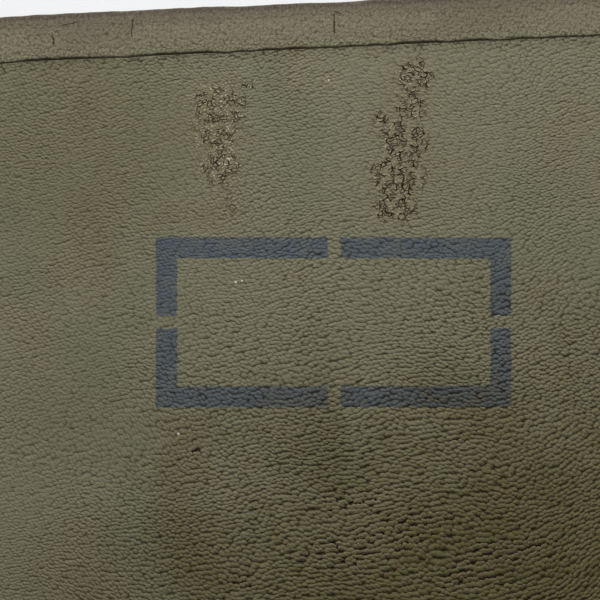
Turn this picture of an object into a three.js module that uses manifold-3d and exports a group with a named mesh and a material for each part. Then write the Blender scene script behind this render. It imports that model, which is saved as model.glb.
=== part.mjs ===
// An empty travelling case of stiff board covered in olive pebbled hide, lying on its back with the lid shut.
// Millimetres, +Z up. X runs along the width, -Y is the side with the handle and clasps, +Y the hinge side.
// The origin is on the floor, under the middle of the whole object with its handle hanging.
import * as THREE from "three";
import { mergeVertices } from "three/addons/utils/BufferGeometryUtils.js";
import Module from "manifold-3d";

const wasm = await Module();
wasm.setup();

// Driving dimensions
const CASE_WIDTH = 533;
const CASE_REACH = 356; // from the handle side to the hinge side, over the edge bindings
const BASE_DEPTH = 107; // from the floor to the mouth
const LID_DEPTH = 58; // from the mouth to the top of the lid's edge binding
const CORNER_RADIUS = 38; // of the case's outline, over the edge bindings
const WALL = 3.2; // hide over board
const GAP = 0.3; // left between neighbouring pieces
const MOUTH_GAP = 0.4; // between the rims of the closed halves

// Edge binding: a strip of hide folded over the edge between the face and the walls of each half
const BINDING_WIDTH = 16.7; // of the strip's face side, as the photo shows it
const BINDING_SIDE = 13; // of its wall side
const BINDING_THICKNESS = 1.6;
const EDGE_RADIUS = 4; // of the board under the fold
const PROUD = GAP + BINDING_THICKNESS; // how far the binding stands out from the hide

// The faces swell a little between their edges
const LID_CROWN = 2.6;
const BASE_CROWN = 1.0; // flattened, because the case lies on this side
const CROWN_START = BINDING_WIDTH - PROUD + 1.5; // from the wall, clear of the binding

// Steps of the round stretches
const CORNER_STEPS = 7;
const LONG_SIDE_STEPS = 5;
const SHORT_SIDE_STEPS = 3;
const EDGE_STEPS = 4;
const CROWN_STEPS = 5;
const ROUND_SIDES = 12;

// Handle: a leather grip on a steel bail that swings in two brackets
const PIVOT_HEIGHT = 74;
const PIVOT_OUT = 13; // of the bail's axis from the front wall
const BAIL_RADIUS = 2.5;
const BAIL_DROP = 36; // from the axis to the middle of the grip
const BAIL_HALF_SPAN = 60; // of the bail's two uprights
const BAIL_END = 80; // where the turned-out ends stop
const BAIL_BEND = 9;
const BAIL_STEPS = 56;
const GRIP_LENGTH = 92;
const GRIP_END_RADIUS = 7.5;
const GRIP_MIDDLE_RADIUS = 10;
const GRIP_STEPS = 8;

// Brackets that carry the bail
const BRACKET_WIDTH = 24;
const BRACKET_HEIGHT = 34;
const BRACKET_PLATE = 1.6;
const BRACKET_CORNER = 4;
const LUG_WIDTH = 7;
const LUG_RADIUS = 5.5;
const BRACKET_X = 74.5;

// Clasps: pressed-steel locks on the base, each with a tongue up over the lid's front wall
const CLASP_X = 165;
const CLASP_WIDTH = 34;
const CLASP_BODY = 22;
const CLASP_STEEL = 2;

// Hinges
const HINGE_X = 160;
const HINGE_LENGTH = 44;
const HINGE_LEAF = 14; // from the axis to a leaf's outer edge
const HINGE_RELIEF = 2.4; // kept free between the axis and the straight edge of each leaf
const HINGE_STEEL = 1;
const KNUCKLE_RADIUS = 1.7;
const KNUCKLE_BORE = 1.1;
const HINGE_PIN = 0.75;
const NOTCH = 2.1; // let into each rim so that the knuckles sit in the walls

// Worked out from the above
const HALF_X = CASE_WIDTH / 2 - PROUD; // the hide's own outline, inside the binding
const HALF_Y = CASE_REACH / 2 - PROUD;
const HIDE_RADIUS = CORNER_RADIUS - PROUD;
const BASE_TRAY = BASE_DEPTH - PROUD - MOUTH_GAP / 2; // from the rim to the outer face
const LID_TRAY = LID_DEPTH - PROUD - MOUTH_GAP / 2;
const GRIP_OUT = PIVOT_OUT + GRIP_MIDDLE_RADIUS - PROUD; // the handle's reach past the binding
const CENTRE_SHIFT = GRIP_OUT / 2; // brings the middle of the whole object over the origin

// Materials
const hide = new THREE.MeshStandardMaterial({ name: "hide", color: 0x6a6652, roughness: 0.6 });
const bindingHide = new THREE.MeshStandardMaterial({ name: "binding", color: 0x726c5c, roughness: 0.6 });
const gripHide = new THREE.MeshStandardMaterial({ name: "grip", color: 0x5a5542, roughness: 0.55 });
const steel = new THREE.MeshStandardMaterial({ name: "steel", color: 0x4a4a48, roughness: 0.4, metalness: 1 });

// A closed ring of points: the case's outline moved in by inset, then scaled about its middle.
function outlineRing(inset, z, scale = 1) {
  const radius = HIDE_RADIUS - inset;
  const middles = [
    { x: 1, y: 1, side: LONG_SIDE_STEPS },
    { x: -1, y: 1, side: SHORT_SIDE_STEPS },
    { x: -1, y: -1, side: LONG_SIDE_STEPS },
    { x: 1, y: -1, side: SHORT_SIDE_STEPS },
  ];
  const arcs = middles.map(({ x, y }, corner) => {
    const points = [];
    for (let step = 0; step <= CORNER_STEPS; step++) {
      const angle = (corner + step / CORNER_STEPS) * (Math.PI / 2);
      const px = x * (HALF_X - inset - radius) + radius * Math.cos(angle);
      const py = y * (HALF_Y - inset - radius) + radius * Math.sin(angle);
      points.push(new THREE.Vector3(px * scale, py * scale, z));
    }
    return points;
  });
  const ring = [];
  arcs.forEach((arc, corner) => {
    const next = arcs[(corner + 1) % arcs.length][0];
    const last = arc[CORNER_STEPS];
    ring.push(...arc);
    for (let step = 1; step < middles[corner].side; step++) {
      ring.push(last.clone().lerp(next, step / middles[corner].side));
    }
  });
  return ring;
}

// A closed skin over rings of equal count: capped by a point at each end, or joined end to end as a hoop.
function loft(rings, { caps = null } = {}) {
  const count = rings[0].length;
  const points = rings.flat();
  const faces = [];
  const bands = caps ? rings.length - 1 : rings.length;
  for (let band = 0; band < bands; band++) {
    const here = band * count;
    const there = ((band + 1) % rings.length) * count;
    for (let k = 0; k < count; k++) {
      const next = (k + 1) % count;
      faces.push(here + k, here + next, there + next);
      faces.push(here + k, there + next, there + k);
    }
  }
  if (caps) {
    const last = (rings.length - 1) * count;
    const first = points.push(caps.first) - 1;
    const end = points.push(caps.last) - 1;
    for (let k = 0; k < count; k++) {
      const next = (k + 1) % count;
      faces.push(first, next, k);
      faces.push(end, last + k, last + next);
    }
  }
  const geometry = new THREE.BufferGeometry().setFromPoints(points);
  geometry.setIndex(faces);
  return geometry;
}

// The rings of one side of a tray, from the middle of its face out to its rim.
function trayRings(inset, depth, crown, edge) {
  const rings = [];
  for (let step = 1; step <= CROWN_STEPS; step++) {
    const scale = step / CROWN_STEPS;
    rings.push(outlineRing(Math.max(CROWN_START, inset + edge), -depth - crown * (1 - scale * scale), scale));
  }
  for (let step = 0; step <= EDGE_STEPS; step++) {
    const turn = (step / EDGE_STEPS) * (Math.PI / 2);
    rings.push(outlineRing(inset + edge * (1 - Math.sin(turn)), -depth + edge * (1 - Math.cos(turn))));
  }
  rings.push(outlineRing(inset, 0));
  return rings;
}

// One half of the case: a hollow tray with its rim at z = 0 and its face below.
function tray(depth, crown) {
  const outer = trayRings(0, depth, crown, EDGE_RADIUS);
  const inner = trayRings(WALL, depth - WALL, crown, EDGE_RADIUS).reverse();
  const first = new THREE.Vector3(0, 0, -depth - crown);
  const last = new THREE.Vector3(0, 0, -depth + WALL - crown);
  return loft([...outer, ...inner], { caps: { first, last } });
}

// The folded strip round the edge of a tray of that depth.
function binding(depth) {
  const faceInset = BINDING_WIDTH - PROUD;
  const rows = [{ inset: faceInset, z: -depth - GAP }];
  rows.push({ inset: faceInset, z: -depth - PROUD });
  const bend = (reach, turn) => ({
    inset: EDGE_RADIUS - (EDGE_RADIUS + reach) * Math.sin(turn),
    z: -depth + EDGE_RADIUS - (EDGE_RADIUS + reach) * Math.cos(turn),
  });
  for (let step = 0; step <= EDGE_STEPS; step++) {
    rows.push(bend(PROUD, (step / EDGE_STEPS) * (Math.PI / 2)));
  }
  rows.push({ inset: -PROUD, z: -depth - PROUD + BINDING_SIDE });
  rows.push({ inset: -GAP, z: -depth - PROUD + BINDING_SIDE });
  for (let step = EDGE_STEPS; step >= 0; step--) {
    rows.push(bend(GAP, (step / EDGE_STEPS) * (Math.PI / 2)));
  }
  return loft(rows.map(({ inset, z }) => outlineRing(inset, z)));
}

// Booleans: a closed geometry as a solid, and back
function solid(geometry) {
  const bare = geometry.clone();
  bare.deleteAttribute("normal");
  bare.deleteAttribute("uv");
  const merged = mergeVertices(bare, 1e-4);
  const vertProperties = merged.attributes.position.array;
  const triVerts = new Uint32Array(merged.index.array);
  return new wasm.Manifold(new wasm.Mesh({ numProp: 3, vertProperties, triVerts }));
}

function geometryOf(body) {
  const { vertProperties, triVerts } = body.getMesh();
  const geometry = new THREE.BufferGeometry();
  geometry.setAttribute("position", new THREE.BufferAttribute(vertProperties, 3));
  geometry.setIndex(new THREE.BufferAttribute(triVerts, 1));
  return geometry;
}

const join = (...geometries) => geometryOf(geometries.map(solid).reduce((all, next) => all.add(next)));
const cut = (geometry, ...tools) =>
  geometryOf(tools.map(solid).reduce((left, tool) => left.subtract(tool), solid(geometry)));

// A box between two corners
function block(x0, x1, y0, y1, z0, z1) {
  const box = new THREE.BoxGeometry(x1 - x0, y1 - y0, z1 - z0);
  return box.translate((x0 + x1) / 2, (y0 + y1) / 2, (z0 + z1) / 2);
}

// A round bar along X between two ends
function bar(radius, x0, x1, y = 0, z = 0) {
  const rod = new THREE.CylinderGeometry(radius, radius, x1 - x0, ROUND_SIDES);
  return rod.rotateZ(Math.PI / 2).translate((x0 + x1) / 2, y, z);
}

// A profile of (y, z) points, extruded along X about x = 0
function plank(profile, width) {
  const shape = new THREE.Shape(profile.map(({ y, z }) => new THREE.Vector2(y, z)));
  const flat = new THREE.ExtrudeGeometry(shape, { depth: width, bevelEnabled: false });
  return flat.rotateX(Math.PI / 2).rotateZ(Math.PI / 2).translate(-width / 2, 0, 0);
}

// A flat plate against the front wall, with round corners: x is its width, z its height, y its thickness
function wallPlate(width, z0, z1, corner, y0, y1) {
  const shape = new THREE.Shape();
  const half = width / 2;
  shape.moveTo(-half + corner, z0);
  shape.lineTo(half - corner, z0);
  shape.absarc(half - corner, z0 + corner, corner, -Math.PI / 2, 0);
  shape.lineTo(half, z1 - corner);
  shape.absarc(half - corner, z1 - corner, corner, 0, Math.PI / 2);
  shape.lineTo(-half + corner, z1);
  shape.absarc(-half + corner, z1 - corner, corner, Math.PI / 2, Math.PI);
  shape.lineTo(-half, z0 + corner);
  shape.absarc(-half + corner, z0 + corner, corner, Math.PI, Math.PI * 1.5);
  const plate = new THREE.ExtrudeGeometry(shape, { depth: y1 - y0, bevelEnabled: false, curveSegments: 4 });
  return plate.rotateX(Math.PI / 2).translate(0, y1, 0);
}

const part = new THREE.Group();

// The case stands on its base binding, and is set back so that the hanging handle is balanced about the origin
const body = new THREE.Group();
body.position.set(0, CENTRE_SHIFT, 0);
part.add(body);

// At the mouth: the plane where the halves meet
const mouth = new THREE.Group();
mouth.position.set(0, 0, BASE_DEPTH);
body.add(mouth);

function place(parent, name, geometry, material, x = 0, y = 0, z = 0) {
  const mesh = new THREE.Mesh(geometry, material);
  mesh.name = name;
  mesh.position.set(x, y, z);
  parent.add(mesh);
  return mesh;
}

// A notch for a hinge, let into the rim at the hinge side; side is +1 where that is local +Y
function notch(x, side) {
  const far = HALF_Y + PROUD;
  const near = HALF_Y - NOTCH;
  const half = HINGE_LENGTH / 2 + GAP;
  const [y0, y1] = side > 0 ? [near, far] : [-far, -near];
  return block(x - half, x + half, y0, y1, -NOTCH - GAP, 1);
}

const HINGE_PLACES = [
  { name: "left", x: -HINGE_X },
  { name: "right", x: HINGE_X },
];
const notches = (side) => HINGE_PLACES.map(({ x }) => notch(x, side));

// The two halves and their bindings
place(mouth, "base_shell", cut(tray(BASE_TRAY, BASE_CROWN), ...notches(1)), hide, 0, 0, -MOUTH_GAP / 2);
place(mouth, "base_binding", binding(BASE_TRAY), bindingHide, 0, 0, -MOUTH_GAP / 2);

const lid = new THREE.Group();
lid.rotation.x = Math.PI;
mouth.add(lid);
place(lid, "lid_shell", cut(tray(LID_TRAY, LID_CROWN), ...notches(-1)), hide, 0, 0, -MOUTH_GAP / 2);
place(lid, "lid_binding", binding(LID_TRAY), bindingHide, 0, 0, -MOUTH_GAP / 2);

// Hinges: the base leaf carries the outer knuckles and the pin, the lid leaf the middle knuckle
const KNUCKLE_SPLIT = HINGE_LENGTH / 6;

// The leaf plate of one half; up is +1 for the lid and -1 for the base
function leafPlate(up) {
  const low = Math.min(up * HINGE_RELIEF, up * HINGE_LEAF);
  const high = Math.max(up * HINGE_RELIEF, up * HINGE_LEAF);
  return block(-HINGE_LENGTH / 2, HINGE_LENGTH / 2, GAP, GAP + HINGE_STEEL, low, high);
}

// A knuckle with the tongue that joins it to its leaf
function knuckle(x0, x1, up) {
  const low = Math.min(0, up * (HINGE_RELIEF + 1));
  const high = Math.max(0, up * (HINGE_RELIEF + 1));
  return join(bar(KNUCKLE_RADIUS, x0, x1), block(x0, x1, GAP, GAP + HINGE_STEEL, low, high));
}

function baseLeaf() {
  const outer = HINGE_LENGTH / 2;
  const inner = KNUCKLE_SPLIT + GAP / 2;
  const pin = bar(HINGE_PIN, -outer + 1, outer - 1);
  return join(leafPlate(-1), knuckle(-outer, -inner, -1), knuckle(inner, outer, -1), pin);
}

function lidLeaf() {
  const half = KNUCKLE_SPLIT - GAP / 2;
  const leaf = join(leafPlate(1), knuckle(-half, half, 1));
  return cut(leaf, bar(KNUCKLE_BORE, -half - 1, half + 1));
}

for (const { name, x } of HINGE_PLACES) {
  place(mouth, `hinge_base_leaf_${name}`, baseLeaf(), steel, x, HALF_Y, 0);
  place(mouth, `hinge_lid_leaf_${name}`, lidLeaf(), steel, x, HALF_Y, 0);
}

// Clasps: y is measured out from the front wall and z up from the mouth
const CLASP_PROFILE = [
  { y: GAP, z: -CLASP_BODY },
  { y: 5.5, z: -CLASP_BODY },
  { y: 7, z: -CLASP_BODY + 3 },
  { y: 7, z: -7 },
  { y: 5, z: -4 },
  { y: 5, z: 9 },
  { y: 3.5, z: 13 },
  { y: GAP, z: 13 },
];

function clasp() {
  const lock = plank(CLASP_PROFILE.map(({ y, z }) => ({ y: -y, z })).reverse(), CLASP_WIDTH * 0.6);
  const plate = wallPlate(CLASP_WIDTH, -CLASP_BODY - 4, -1.5, BRACKET_CORNER, -GAP - CLASP_STEEL, -GAP);
  return join(lock, plate);
}

for (const [name, x] of [["left", -CLASP_X], ["right", CLASP_X]]) {
  place(mouth, `clasp_${name}`, clasp(), steel, x, -HALF_Y, 0);
}

// Handle, about its axis
const handle = new THREE.Group();
handle.position.set(0, -HALF_Y - PIVOT_OUT, PIVOT_HEIGHT);
body.add(handle);

// The bail's line: turned-out end, bend, upright, bend, then across through the grip to the other side
function bailLine() {
  const line = new THREE.CurvePath();
  const at = (x, z) => new THREE.Vector3(x, 0, z);
  const straight = (from, to) => line.add(new THREE.LineCurve3(from, to));
  const bend = (from, corner, to) => line.add(new THREE.QuadraticBezierCurve3(from, corner, to));
  const span = BAIL_HALF_SPAN;
  straight(at(-BAIL_END, 0), at(-span - BAIL_BEND, 0));
  bend(at(-span - BAIL_BEND, 0), at(-span, 0), at(-span, -BAIL_BEND));
  straight(at(-span, -BAIL_BEND), at(-span, -BAIL_DROP + BAIL_BEND));
  bend(at(-span, -BAIL_DROP + BAIL_BEND), at(-span, -BAIL_DROP), at(-span + BAIL_BEND, -BAIL_DROP));
  straight(at(-span + BAIL_BEND, -BAIL_DROP), at(span - BAIL_BEND, -BAIL_DROP));
  bend(at(span - BAIL_BEND, -BAIL_DROP), at(span, -BAIL_DROP), at(span, -BAIL_DROP + BAIL_BEND));
  straight(at(span, -BAIL_DROP + BAIL_BEND), at(span, -BAIL_BEND));
  bend(at(span, -BAIL_BEND), at(span, 0), at(span + BAIL_BEND, 0));
  straight(at(span + BAIL_BEND, 0), at(BAIL_END, 0));
  return line;
}

function bail() {
  const section = new THREE.Shape();
  section.absarc(0, 0, BAIL_RADIUS, 0, Math.PI * 2);
  return new THREE.ExtrudeGeometry(section, {
    steps: BAIL_STEPS,
    extrudePath: bailLine(),
    curveSegments: ROUND_SIDES / 2 + 2,
    bevelEnabled: false,
  });
}

// The grip swells to its middle, round a bore for the bail
function grip() {
  const half = GRIP_LENGTH / 2;
  const bore = BAIL_RADIUS + 2 * GAP;
  const profile = [new THREE.Vector2(bore, -half)];
  for (let step = 0; step <= GRIP_STEPS; step++) {
    const along = (step / GRIP_STEPS) * 2 - 1;
    const swell = (GRIP_MIDDLE_RADIUS - GRIP_END_RADIUS) * (1 - along ** 4);
    profile.push(new THREE.Vector2(GRIP_END_RADIUS + swell, along * half));
  }
  profile.push(new THREE.Vector2(bore, half), new THREE.Vector2(bore, -half));
  return new THREE.LatheGeometry(profile, ROUND_SIDES + 4).rotateZ(Math.PI / 2);
}

place(handle, "handle_bail", bail(), steel);
place(handle, "handle_grip", grip(), gripHide, 0, 0, -BAIL_DROP);

// A bracket: a plate on the wall with a lug whose hole holds the bail's end
function bracket() {
  const wall = PIVOT_OUT - GAP;
  const plate = wallPlate(
    BRACKET_WIDTH, -BRACKET_HEIGHT / 2, BRACKET_HEIGHT / 2, BRACKET_CORNER, wall - BRACKET_PLATE, wall,
  );
  const lug = block(-LUG_WIDTH / 2, LUG_WIDTH / 2, 0, wall, -LUG_RADIUS, LUG_RADIUS);
  const nose = bar(LUG_RADIUS, -LUG_WIDTH / 2, LUG_WIDTH / 2);
  return cut(join(plate, lug, nose), bar(BAIL_RADIUS + 1.5 * GAP, -LUG_WIDTH, LUG_WIDTH));
}

for (const [name, x] of [["left", -BRACKET_X], ["right", BRACKET_X]]) {
  place(handle, `handle_bracket_${name}`, bracket(), steel, x);
}

export default part;
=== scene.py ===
# %% [markdown]
# # A worn travelling case in olive pebbled hide
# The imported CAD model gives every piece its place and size, in metres. This lesson loads it as a fixed frame
# and dresses it: each plain solid is replaced by a finer mesh of the same shape, and every surface gets a
# finish that is worked out by nodes. The case lies on its back: X runs along its width, the handle side faces
# -Y, and the lid's face, the surface that matters most, looks straight up.

# %% Load the frame
import math

import bmesh
import bpy
import numpy as np
from mathutils import Matrix, Vector, noise


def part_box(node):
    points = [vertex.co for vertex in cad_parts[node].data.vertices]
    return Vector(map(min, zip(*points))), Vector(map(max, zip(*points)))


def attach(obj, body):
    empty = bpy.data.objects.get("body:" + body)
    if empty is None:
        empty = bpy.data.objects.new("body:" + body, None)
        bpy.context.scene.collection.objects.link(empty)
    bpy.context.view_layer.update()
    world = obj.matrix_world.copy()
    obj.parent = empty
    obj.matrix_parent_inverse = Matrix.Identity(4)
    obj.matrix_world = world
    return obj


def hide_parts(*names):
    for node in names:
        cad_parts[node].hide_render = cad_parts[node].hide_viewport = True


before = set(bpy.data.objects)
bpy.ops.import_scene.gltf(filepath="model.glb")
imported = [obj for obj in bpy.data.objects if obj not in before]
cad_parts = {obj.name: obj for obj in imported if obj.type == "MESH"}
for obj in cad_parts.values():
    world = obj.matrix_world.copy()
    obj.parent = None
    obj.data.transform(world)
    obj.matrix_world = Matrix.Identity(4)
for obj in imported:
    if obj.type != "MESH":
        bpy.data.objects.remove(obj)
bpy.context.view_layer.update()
MM = 0.001

# %% [markdown]
# ## The outline that everything shares
# Both halves of the case have one outline, a rectangle with round corners. Its size could be typed in again,
# but the boxes of the CAD nodes give it, so the finer meshes land exactly on the solids. Lengths from here on
# are in millimetres, and a mesh is scaled to metres only when it is made.

# %% Sizes taken from the frame


def box_mm(node):
    return [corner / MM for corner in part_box(node)]


lid_low, lid_high = box_mm("lid_shell")
base_low, base_high = box_mm("base_shell")
strip_low, strip_high = box_mm("lid_binding")
floor_strip_low = box_mm("base_binding")[0]
HALF_X = (lid_high.x - lid_low.x) / 2
HALF_Y = (lid_high.y - lid_low.y) / 2
CENTRE_Y = (lid_high.y + lid_low.y) / 2
PROUD = strip_high.x - lid_high.x  # how far the binding stands out from the hide
STRIP_CORNER = 38.0  # the outer corner radius of the binding
CORNER = STRIP_CORNER - PROUD
LID_RIM = lid_low.z
BASE_RIM = base_high.z
LID_FACE = strip_high.z - PROUD  # the lid's face at its edge
BASE_FACE = floor_strip_low.z + PROUD
LID_CROWN = lid_high.z - LID_FACE
BASE_CROWN = BASE_FACE - base_low.z
TOP_EDGE = strip_low.y  # the edge at the head of the photo
FRONT_WALL = lid_low.y
REAR_WALL = lid_high.y
WALL = 3.2  # board and hide together
EDGE = 4.0  # the round between face and wall
BINDING_WIDTH = 16.58  # the binding's width on the face
BINDING_SIDE = 13.0  # and down the wall
print(f"hide outline {2 * HALF_X:.1f} x {2 * HALF_Y:.1f} mm, proud binding {PROUD:.2f} mm")

# %% [markdown]
# ## The camera
# The photo looks down at part of the lid. Its scale is 3 pixels to the millimetre, its middle lies a little
# left of the case's middle line, and the top edge climbs to the right. A camera can be solved from matched
# points, but here only two straight lines can be matched, the edges of the bound strip. So the camera is set
# square over the face, then swung by one degree and rolled by about three, until both lines fit. In the
# photo, right is -X and up is -Y. Two helpers go from a place on the case to a pixel and back, so that later
# tables can be in pixels.

# %% Set the camera
PHOTO = 600
PIXELS_PER_MM = 3.0
MIDDLE_LINE = 335  # the photo's column over the middle of the case
TOP_AT_MIDDLE = 3.9  # the row where the top edge crosses the photo's middle column
TOP_SEEN = 1.6  # the rounded top edge is seen this far in from its outermost line
SEEN_FACE = LID_FACE + 1  # the height of the lid's face in the photo's part
FIELD = math.radians(42)
SWING = math.radians(-1.0)
ROLL = math.radians(-2.93)
focal = PHOTO / 2 / math.tan(FIELD / 2)
reach = focal / PIXELS_PER_MM
look_at = Vector((
    (MIDDLE_LINE - PHOTO / 2) / PIXELS_PER_MM,
    TOP_EDGE + TOP_SEEN + (PHOTO / 2 - TOP_AT_MIDDLE) / PIXELS_PER_MM,
    SEEN_FACE,
)) * MM
backward = Vector((-math.sin(SWING), 0, math.cos(SWING)))
rightward = Vector((0, -1, 0)).cross(backward).normalized()
upward = backward.cross(rightward)
camera = bpy.data.objects.new("camera", bpy.data.cameras.new("camera"))
bpy.context.scene.collection.objects.link(camera)
bpy.context.scene.camera = camera
camera.data.sensor_width = 36
camera.data.lens = camera.data.sensor_width / 2 / math.tan(FIELD / 2)
camera.data.clip_start = 0.01
turn = Matrix((rightward, upward, backward)).transposed() @ Matrix.Rotation(ROLL, 3, "Z")
camera.matrix_world = Matrix.Translation(look_at + backward * reach * MM) @ turn.to_4x4()


def photo_pixel(point):
    """Where a point of the frame, in millimetres, lands in the photo."""
    local = camera.matrix_world.inverted() @ (Vector(point) * MM)
    return (PHOTO / 2 + focal * local.x / -local.z, PHOTO / 2 - focal * local.y / -local.z)


def on_lid(column, row):
    """The place on the lid's face under a pixel of the photo, as millimetres right and up in the photo."""
    ray = Vector(((column - PHOTO / 2) / focal, (PHOTO / 2 - row) / focal, -1))
    ray = camera.matrix_world.to_3x3() @ ray
    start = camera.matrix_world.translation / MM
    hit = start + ray * ((SEEN_FACE - start.z) / ray.z)
    return (-hit.x, -hit.y)


PICTURE_SIDES = (52, 547)  # the columns between which the photo shows the case
NEAR_SIDES = (94, -70)  # places along X close to both of them
HORIZON_IN, HORIZON_DOWN = 0.4, 1.8  # where the round of the top edge turns out of sight
photo_lines = (
    ("top edge", TOP_EDGE + HORIZON_IN, LID_FACE - HORIZON_DOWN),
    ("band edge", TOP_EDGE + BINDING_WIDTH, SEEN_FACE),
)
for label, y, z in photo_lines:
    ends = [photo_pixel((x, y, z)) for x in NEAR_SIDES]
    slope = (ends[1][1] - ends[0][1]) / (ends[1][0] - ends[0][0])
    rows = [ends[0][1] + slope * (column - ends[0][0]) for column in PICTURE_SIDES]
    print(label, "rows at the photo's sides", [round(row, 1) for row in rows], "slope", round(slope, 4))

# %% [markdown]
# ## Light and floor
# The photo has one soft light from beyond the top edge: the face is brightest there and falls off towards
# the lower right, and the grain casts small shadows downwards. A sun lamp would not fall off, so a near area
# lamp does it, and a pale sky fills the shadows. Three weak lamps stand far off and low: they light the other
# walls and hardly touch the face and the floor. The floor is plain and pale.

# %% Set the light and the floor
KEY_PLACE, KEY_AIM = (0.05, -1.3, 0.9), (0.03, -0.1, 0.16)
KEY_WATTS = 23.0
KEY_SIZE = 0.34
SKY = 0.21
scene = bpy.context.scene
scene.view_settings.view_transform = "Standard"
sky = bpy.data.worlds.new("sky")
sky.use_nodes = True
sky.node_tree.nodes["Background"].inputs["Color"].default_value = (0.98, 0.98, 1, 1)
sky.node_tree.nodes["Background"].inputs["Strength"].default_value = SKY
scene.world = sky


def lamp(name, place, aim, size, watts, spread=180):
    data = bpy.data.lights.new(name, "AREA")
    data.spread = math.radians(spread)
    data.shape = "DISK"
    data.size = size
    data.energy = watts
    made = bpy.data.objects.new(name, data)
    made.location = place
    made.rotation_euler = (Vector(aim) - Vector(place)).to_track_quat("-Z", "Y").to_euler()
    made.visible_camera = False
    scene.collection.objects.link(made)


def plain_finish(name, colour, roughness):
    """A material of one colour all over."""
    made = bpy.data.materials.new(name)
    made.use_nodes = True
    shader = made.node_tree.nodes["Principled BSDF"]
    shader.inputs["Base Color"].default_value = colour
    shader.inputs["Roughness"].default_value = roughness
    return made


lamp("key_lamp", KEY_PLACE, KEY_AIM, KEY_SIZE, KEY_WATTS)
LOW = 0.015
FAR = 4.6  # past the end of the floor
LOW_SIZE = 0.14
LOW_SPREAD = 20
BACK_WATTS = 1.5
SIDE_WATTS = 0.9
lamp("back_lamp", (-0.8, FAR, LOW), (0, 0.19, 0.09), LOW_SIZE, BACK_WATTS, LOW_SPREAD)
for side in (-1, 1):
    aim = (side * 0.26, 0.05, 0.09)
    lamp(f"side_lamp_{side}", (side * FAR, 0.5, LOW), aim, LOW_SIZE, SIDE_WATTS, LOW_SPREAD)
FLOOR_SIZE = 6
floor_mesh = bpy.data.meshes.new("floor")
half = FLOOR_SIZE / 2
floor_corners = [(-half, -half, 0), (half, -half, 0), (half, half, 0), (-half, half, 0)]
floor_mesh.from_pydata(floor_corners, [], [(0, 1, 2, 3)])
floor = bpy.data.objects.new("floor", floor_mesh)
scene.collection.objects.link(floor)
floor_mesh.materials.append(plain_finish("floor_paint", (0.93, 0.94, 0.97, 1), 0.8))
print("key lamp", KEY_WATTS, "W, sky", SKY)

# %% [markdown]
# ## Shader sums as plain expressions
# A finish is a sum of patterns: grain, crevices, stains, cracks. The nodes could be made and linked one by
# one, but then nobody can read the sum. This small class wraps a node socket, so that the sum is written as
# ordinary arithmetic and each sign adds one Math node. Any other node comes from the one method `node`, which
# sets the node's settings first and then fills or links its sockets.

# %% A socket that can be reckoned with


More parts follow.
